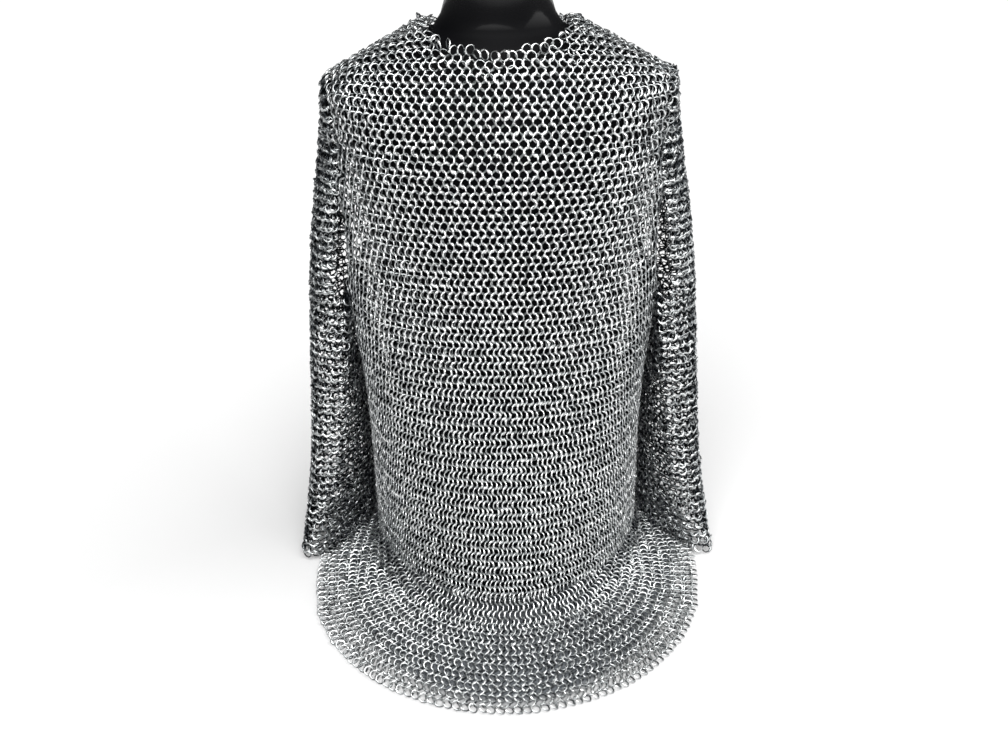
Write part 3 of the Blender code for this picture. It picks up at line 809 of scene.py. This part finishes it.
def half_to_whole(grid: np.ndarray, pitches: np.ndarray, hand: float) -> Places:
    """Lay rings on every other column of a grid, row by row in turn, and on its other side too.

    Args:
        grid: rows of points from the middle line outwards, a column for each half ring.
        pitches: the pitch of each row.
        hand: 1 where the net is seen with its columns running to the right, else -1.

    Returns:
        The places.
    """
    rows, columns = np.indices(grid.shape[:2])
    along, across = slopes(grid, 1) * hand, slopes(grid, 0)
    known = ~np.isnan(grid[..., 0])
    here = ((rows + columns) % 2 == 0) & known
    last = known & ~np.vstack((known[1:], np.zeros((1, known.shape[1]), bool)))
    free = last & (grid[..., 2] > NECK_Z) & (grid[..., 0] < NECK_HALF)
    pitch = np.broadcast_to(pitches[:, None], grid.shape[:2])
    side = Places(grid[here], along[here], across[here], pitch[here], rows[here], free[here])
    middle = side.middle[:, 0] > 1e-6
    return side.joined(side.chosen(middle).mirrored())


@dataclass
class Skirt:
    """The part of the shirt that bends out at its foot and lies round it on the surface."""

    face: Face
    ring: Ring
    columns: int                  # rings on a quarter
    bend_out_middle: float = 0.0275
    bend_out_side: float = 0.0120
    straightness: float = 0.75    # of the bend
    hem_clearance: float = 0.0058
    fine: int = 180               # samples on a quarter of the outline
    bend_step: int = 5            # degrees between samples of the bend
    flat_steps: int = 12          # samples from the hem to the bend

    def bend(self, round_share: float, angle: float) -> float:
        """How far a place in the bend is on its way, between a round bend and a straight slope."""
        return round_share + (angle / (math.pi / 2) - round_share) * self.straightness

    def outline(self, node: str, height: float) -> np.ndarray:
        """A level outline of a node, from its middle to its side, with evenly spaced points."""
        guide = Guide(node)
        line = []
        for n in range(self.fine + 1):
            turn = math.pi / 2 * n / self.fine
            start = Vector((0.0, RIDGE_Y, height))
            out = Vector((math.sin(turn), self.face.value * math.cos(turn), 0.0))
            hit = guide.tree.ray_cast(start + out * SEARCH, -out, SEARCH)[0]
            if hit is not None:
                line.append(np.array(hit))
        line = np.array(line)
        reach = lengths(line)
        return along_line(line, reach, np.linspace(0, reach[-1], 2 * self.columns + 1))

    def places(self) -> Places:
        """Where the rings of this part of the skirt lie."""
        name = "front" if self.face is Face.FRONT else "back"
        foot = self.outline(name + "_panel", FOOT_Z + 0.001)
        hem = self.outline("skirt_" + name, MAIL_WALL / 2)
        step = slopes(foot[None], 1)[0]
        way = unit(np.stack((step[:, 1] * -self.face.value, step[:, 0] * self.face.value,
                             0 * step[:, 0]), axis=1))
        way[0], way[-1] = (0, self.face.value, 0), (1, 0, 0)
        foot = foot - way * MAIL_WALL / 2
        share = np.linspace(0, 1, len(foot))[:, None] ** 2
        run = self.bend_out_middle * (1 - share) + self.bend_out_side * share
        fall = FOOT_Z - MAIL_WALL / 2
        angles = np.radians(np.arange(90, -1, -self.bend_step))
        lines = []
        for n in range(len(foot)):
            bend = [foot[n] + way[n] * run[n] * self.bend(1 - math.cos(a), a) for a in angles]
            for point, a in zip(bend, angles):
                point[2] = MAIL_WALL / 2 + fall * (1 - self.bend(math.sin(a), a))
            hem[n, 2] = MAIL_WALL / 2
            flat = [hem[n] + (bend[0] - hem[n]) * t for t in np.linspace(0, 1, self.flat_steps)]
            lines.append(np.array(flat + bend[1:]))
        whole = max(lengths(line)[-1] for line in lines)
        places_at = [self.hem_clearance]
        while places_at[-1] < whole:
            span = min(places_at[-1] / whole, 1.0)
            pitch = self.pitch_at(hem, foot, span)
            places_at.append(places_at[-1] + self.ring.row_step(pitch))
        wanted = np.array(places_at)
        grid = np.stack([along_line(line, lengths(line), wanted) for line in lines], axis=1)
        pitches = np.array([self.pitch_at(hem, foot, min(a / whole, 1.0)) for a in wanted])
        return half_to_whole(grid, pitches, -self.face.value)

    def pitch_at(self, hem: np.ndarray, foot: np.ndarray, span: float) -> float:
        """The pitch of a row part of the way from the hem to the foot."""
        outer, inner = lengths(hem)[-1], lengths(foot)[-1]
        return (outer + (inner - outer) * span) / self.columns


@dataclass
class Sleeve:
    """The right sleeve, whose rows run up and down. The left one is its mirror image."""

    ring: Ring
    pitch: float = 0.0120
    rows: int = 66
    level_step: float = 0.0060
    row_gap: float = 0.0041       # distance between rows where the sleeve is open to the body
    edge: float = 0.0005          # how far the last row stays behind the body's edge
    edge_slack: float = 0.0010    # how far past it a row may still lie
    tuck: float = 0.0045          # how deep the last row lies below the body's
    tuck_run: float = 0.012       # how far from the edge the mail starts to go down to it
    cuff_clearance: float = 0.0060
    head_clearance: float = 0.0020
    lowest_level: float = 0.0020  # height over the cuff at which its outline is taken
    inside: float = 0.12          # a place across, from which the outer wall lies outwards
    body_side: float = 0.02       # and one from which the inner wall does
    wall_search: float = 0.3      # how far the walls are searched for
    line_search: float = 0.25     # how far a level line is
    narrowest: float = 0.012      # a tube is at least this wide
    open_depth: float = 0.030     # where the middle of an open level lies, behind its outer wall
    turn_step: int = 3            # degrees between samples of a level line

    def section(self, guide: Guide, height: float) -> tuple[np.ndarray, float, bool]:
        """One level line of the sleeve.

        Args:
            guide: the sleeve's outer face.
            height: the level.

        Returns:
            Its points from the rear round to the front (or all the way), the place of the outer middle
            along them, and whether it is closed.
        """
        middle_y = 0.0
        for _ in range(2):
            outer = guide.skin((self.inside, middle_y, height), (1, 0, 0), self.wall_search)
            start = Vector((self.body_side, middle_y, height))
            inner = guide.tree.ray_cast(start, Vector((1, 0, 0)), self.wall_search)[0]
            closed = inner is not None and outer[0] - inner.x > self.narrowest and height < ARMPIT_Z
            centre_x = (outer[0] + inner.x) / 2 if closed else outer[0] - self.open_depth
            line = []
            for degree in range(-180, 181, self.turn_step):
                way = (math.cos(math.radians(degree)), math.sin(math.radians(degree)), 0.0)
                line.append(guide.skin((centre_x, middle_y, height), way, self.line_search))
            line = np.array(line)
            middle_y = float((np.nanmin(line[:, 1]) + np.nanmax(line[:, 1])) / 2)
        known = ~np.isnan(line[:, 0])
        if not closed:
            quarter = 90 // self.turn_step
            line = line[quarter:3 * quarter + 1]
            known = known[quarter:3 * quarter + 1]
        points = line[known]
        centre = int(np.argmin(np.abs(np.arctan2(points[:, 1] - middle_y, points[:, 0] - centre_x))))
        return points, float(lengths(points)[centre]), closed

    def open_rows(self, points: np.ndarray, reach: np.ndarray, centre: float,
                  steps: np.ndarray) -> np.ndarray:
        """The rows of one level where the sleeve is open to the body.

        Args:
            points: the level line, from the rear round to the front.
            reach: how far along it each point lies.
            centre: the place of the outer middle along it.
            steps: how many rows from the outer middle each row lies.

        Returns:
            A point for each row, not a number where there is none.
        """
        wanted = np.zeros(len(steps))
        for side, room in ((-1, centre - self.edge), (1, reach[-1] - centre - self.edge)):
            last = max(round(room / self.row_gap - 0.5), 0) + 0.5
            here = steps * side > 0
            wanted[here] = centre + steps[here] * room / last
        line = along_line(points, reach, np.clip(wanted, 0, reach[-1]))
        depth = np.minimum(wanted, reach[-1] - wanted) - self.edge
        middle = np.array((points[:, 0].min(), points[:, 1].mean(), 0.0))
        inwards = unit((middle - line) * (1, 1, 0))
        line += inwards * (self.tuck * np.clip(1 - depth / self.tuck_run, 0, 1))[:, None]
        line[depth < -self.edge_slack] = np.nan
        return line

    def places(self) -> Places:
        """Where the sleeve's rings lie."""
        guide = Guide("sleeve_right")
        low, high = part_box("sleeve_right")
        bottom = low.z + self.cuff_clearance
        count = int((high.z - self.head_clearance - bottom) / self.level_step) + 1
        grid = np.full((self.rows, count, 3), np.nan)
        for n in range(count):
            height = bottom + n * self.level_step
            points, centre, closed = self.section(guide, max(height, low.z + self.lowest_level))
            reach = lengths(points)
            girth = reach[-1]
            steps = np.arange(self.rows) - (self.rows - 1) / 2
            if closed:
                grid[:, n] = along_line(points, reach, np.mod(centre + steps * girth / self.rows, girth))
            else:
                grid[:, n] = self.open_rows(points, reach, centre, steps)
            grid[:, n, 2] = height
        grid = settled(grid, 1, 4)
        rows, columns = np.indices(grid.shape[:2])
        here = ((rows + columns) % 2 == 0) & ~np.isnan(grid[..., 0])
        across = slopes(grid, 0)
        pitch = np.full(here.sum(), self.pitch)
        return Places(grid[here], slopes(grid, 1)[here], -across[here], pitch, rows[here],
                      np.zeros(here.sum(), bool))


# ---------------------------------------------------------------------------------------------
# The form and the studio
# ---------------------------------------------------------------------------------------------

@dataclass
class DressForm:
    """The black form that the shirt hangs on."""

    body: str = "dress_form"
    cap: str = "neck_cap"
    weld: float = 0.00002         # points closer than this are one
    crease: float = 40.0          # edges that turn further than this stay sharp, in degrees

    def make(self, finish: bpy.types.Material) -> None:
        """Make the form and its cap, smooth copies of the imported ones.

        Args:
            finish: their material.
        """
        for node in (self.body, self.cap):
            mesh = bmesh.new()
            mesh.from_mesh(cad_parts[node].data)
            bmesh.ops.remove_doubles(mesh, verts=mesh.verts[:], dist=self.weld)
            bmesh.ops.recalc_face_normals(mesh, faces=mesh.faces[:])
            data = bpy.data.meshes.new(node + "_gloss")
            mesh.to_mesh(data)
            mesh.free()
            data.shade_smooth()
            data.set_sharp_from_angle(angle=math.radians(self.crease))
            data.materials.append(finish)
            item = bpy.data.objects.new(node + "_gloss", data)
            bpy.context.scene.collection.objects.link(item)
            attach(item, "root")
            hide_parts(node)
            LOG.info("%s: %d triangles", item.name, len(data.polygons))


@dataclass(frozen=True)
class Lamp:
    """A distant soft light, as large in the sky as its spread."""

    name: str
    azimuth: float                # degrees from the front, positive to the right
    elevation: float
    spread: float
    strength: float

    def make(self) -> None:
        """Hang the light."""
        light = bpy.data.lights.new(self.name, "SUN")
        light.angle = math.radians(self.spread)
        light.energy = self.strength
        item = bpy.data.objects.new(self.name, light)
        side, rise = math.radians(self.azimuth), math.radians(self.elevation)
        towards = Vector((math.sin(side) * math.cos(rise), -math.cos(side) * math.cos(rise), math.sin(rise)))
        item.rotation_euler = towards.to_track_quat("Z", "Y").to_euler()
        bpy.context.scene.collection.objects.link(item)


@dataclass
class Studio:
    """The white sweep, the soft lights and the camera."""

    sky: float = 0.15             # strength of the light from all round
    lamps: tuple[Lamp, ...] = (
        Lamp("key_light", -5.0, 48.0, 60.0, 5.4),
        Lamp("side_light", 80.0, 40.0, 60.0, 2.6),
    )
    sweep: float = 40.0           # half the width of the sweep
    camera_place: tuple[float, float, float] = (0.0, -1.284, 0.926)
    camera_dip: float = 28.0      # degrees below level
    camera_roll: float = -0.91    # degrees
    lens: float = 37.5

    def make(self, finish: bpy.types.Material) -> None:
        """Set up everything round the part.

        Args:
            finish: the sweep's material.
        """
        mesh = bmesh.new()
        bmesh.ops.create_grid(mesh, x_segments=8, y_segments=8, size=self.sweep)
        data = bpy.data.meshes.new("sweep")
        mesh.to_mesh(data)
        mesh.free()
        data.materials.append(finish)
        floor = bpy.data.objects.new("sweep", data)
        bpy.context.scene.collection.objects.link(floor)
        world = bpy.data.worlds.new("soft_sky")
        world.use_nodes = True
        sky = world.node_tree.nodes["Background"]
        sky.inputs["Color"].default_value = (1.0, 1.0, 1.0, 1.0)
        sky.inputs["Strength"].default_value = self.sky
        bpy.context.scene.world = world
        for lamp in self.lamps:
            lamp.make()
        camera = bpy.data.cameras.new("camera")
        camera.lens = self.lens
        camera.sensor_width = 36.0
        item = bpy.data.objects.new("camera", camera)
        turn = Matrix.Rotation(math.radians(90 - self.camera_dip), 4, "X")
        roll = Matrix.Rotation(math.radians(self.camera_roll), 4, "Z")
        item.matrix_world = Matrix.Translation(self.camera_place) @ turn @ roll
        bpy.context.scene.collection.objects.link(item)
        bpy.context.scene.camera = item
        bpy.context.scene.view_settings.view_transform = "Standard"


# ---------------------------------------------------------------------------------------------
# Putting it together
# ---------------------------------------------------------------------------------------------

@dataclass
class Hauberk:
    """The whole shirt, piece by piece."""

    ring: Ring = field(default_factory=Ring)
    weave: Weave = field(default_factory=Weave)
    chest_split: float = 0.315    # the front is two meshes that meet at this height
    apron_columns: int = 51       # rings on a quarter of the front skirt
    train_columns: int = 42       # rings on a quarter of the back skirt
    rings: int = 0

    def lay(self, name: str, node: str, places: Places, detail: Detail, seed: int,
            finish: bpy.types.Material, wear_and_shade: WearAndShade = WearAndShade()) -> None:
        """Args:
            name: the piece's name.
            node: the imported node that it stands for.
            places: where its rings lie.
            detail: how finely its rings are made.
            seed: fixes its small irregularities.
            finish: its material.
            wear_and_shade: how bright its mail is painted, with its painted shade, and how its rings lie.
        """
        item = Net(name, self.ring, detail, seed, wear_and_shade=wear_and_shade).make(places, finish)
        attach(item, "root")
        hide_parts(node)
        self.rings += len(places.middle)

    def make(self) -> None:
        """Make every piece of the shirt."""
        steel = SteelFinish("riveted_steel").make()
        front = Body(Face.FRONT, self.ring, self.weave).places()
        high = front.middle[:, 2] >= self.chest_split
        self.lay("front_chest_mail", "front_panel", front.chosen(high), Detail.NEAR, 11,
                 steel)
        self.lay("front_body_mail", "front_panel", front.chosen(~high), Detail.NEAR, 12,
                 steel)
        back = Body(Face.BACK, self.ring, self.weave).places()
        self.lay("back_mail", "back_panel", back, Detail.FAR, 13, steel)
        apron = Skirt(Face.FRONT, self.ring, self.apron_columns).places()
        # Each piece's settings give its painted brightness and shade; the sleeves' mail is painted darkest
        spread = WearAndShade(middle=0.59, slack=0.31, level=0.30, relief=0.0085, slack_relief=0.0025,
                      lap_turn=3.0, lean_gain=1.1)
        self.lay("skirt_front_mail", "skirt_front", apron, Detail.NEAR, 14, steel, spread)
        train = Skirt(Face.BACK, self.ring, self.train_columns).places()
        self.lay("skirt_back_mail", "skirt_back", train, Detail.MIDDLE, 15, steel, spread)
        loose = WearAndShade(middle=0.08, slack=0.27, side=0.22, level=0.28, relief=0.0085, slack_relief=0.0015,
                     lean_gain=1.1, wobble=9.0, stray=0.0006)
        arm = Sleeve(self.ring).places()
        self.lay("sleeve_right_mail", "sleeve_right", arm, Detail.MIDDLE, 16,
                 steel, loose)
        self.lay("sleeve_left_mail", "sleeve_left", arm.mirrored(), Detail.MIDDLE, 17,
                 steel, loose)
        LOG.info("shirt: %d rings", self.rings)


def main() -> None:
    """Build the part and its studio."""
    logging.basicConfig(level=logging.INFO, format="%(name)s %(message)s")
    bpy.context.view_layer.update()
    DressForm().make(GlossFinish("form_gloss_black").make())
    Hauberk().make()
    Studio().make(PaperFinish().make())


if __name__ == "__main__":
    main()
